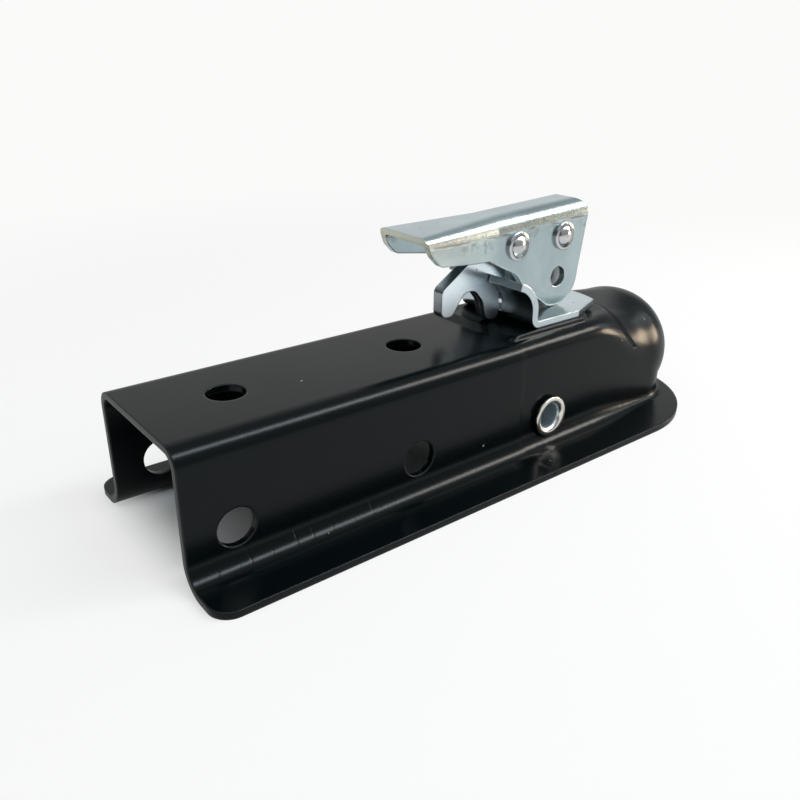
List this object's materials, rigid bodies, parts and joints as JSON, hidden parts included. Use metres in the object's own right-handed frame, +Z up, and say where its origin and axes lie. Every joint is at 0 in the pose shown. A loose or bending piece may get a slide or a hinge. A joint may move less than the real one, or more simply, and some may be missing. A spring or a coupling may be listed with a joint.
{
  "type": "trailer coupling head",
  "caption": "Straight-tongue trailer coupler: pressed channel with a ball dome and flange, a jaw under the dome, and a lever latch with a squeeze trigger.",
  "frame": {"origin": "centre of the hitch ball when it is seated in the dome", "axes": "+X forwards from the tongue to the dome, +Y to the side away from the pictured one, +Z up"},
  "size_m": [0.2412, 0.0928, 0.0895],
  "materials": {
    "black_paint": "semi-gloss",
    "bright_zinc": "bright zinc plate",
    "polished_rivet": "polished",
    "eyelet_steel": "bright",
    "plain_steel": "satin",
    "jaw_iron": "as cast",
    "spring_steel": "satin"
  },
  "bodies": {
    "housing": {"coupler_body": "black_paint", "wear_plate": "bright_zinc", "pivot_tube": "eyelet_steel", "pivot_spacers": "plain_steel", "jaw_spring": "spring_steel"},
    "jaw": {"ball_jaw": "jaw_iron"},
    "link": {"draw_link": "plain_steel", "rocker_washer": "plain_steel", "adjusting_nut": "plain_steel"},
    "lever": {"lever_handle": "bright_zinc", "lever_rivet": "polished_rivet", "trigger_rivet": "polished_rivet", "link_spacers": "plain_steel", "trigger_spacer": "plain_steel"},
    "trigger": {"trigger": "bright_zinc", "trigger_spring": "spring_steel"}
  },
  "joints": [
    {"name": "link_drop", "type": "slide", "parent": "housing", "child": "link", "axis": [0, 0, -1], "range_m": [0, 0.00456]},
    {"name": "handle_lift", "type": "hinge", "parent": "link", "child": "lever", "pos_m": [-0.0453, 0, 0.0577], "axis": [0, 1, 0], "range_deg": [0, 70]},
    {"name": "jaw_swing", "type": "hinge", "parent": "housing", "child": "jaw", "pos_m": [-0.0666, 0, -0.0054], "axis": [0, 1, 0], "range_deg": [0, 10.35], "deforming": ["jaw_spring"]},
    {"name": "trigger_squeeze", "type": "hinge", "parent": "lever", "child": "trigger", "pos_m": [-0.07, 0, 0.057], "axis": [0, 1, 0], "range_deg": [0, 12], "stiffness_Nm_per_rad": 0.15, "springref_deg": -14.32}
  ],
  "couplings": [
    {"joint": "link_drop", "follows": "handle_lift", "m_per_rad": 0.003724},
    {"joint": "jaw_swing", "follows": "handle_lift", "ratio": 0.1471}
  ]
}
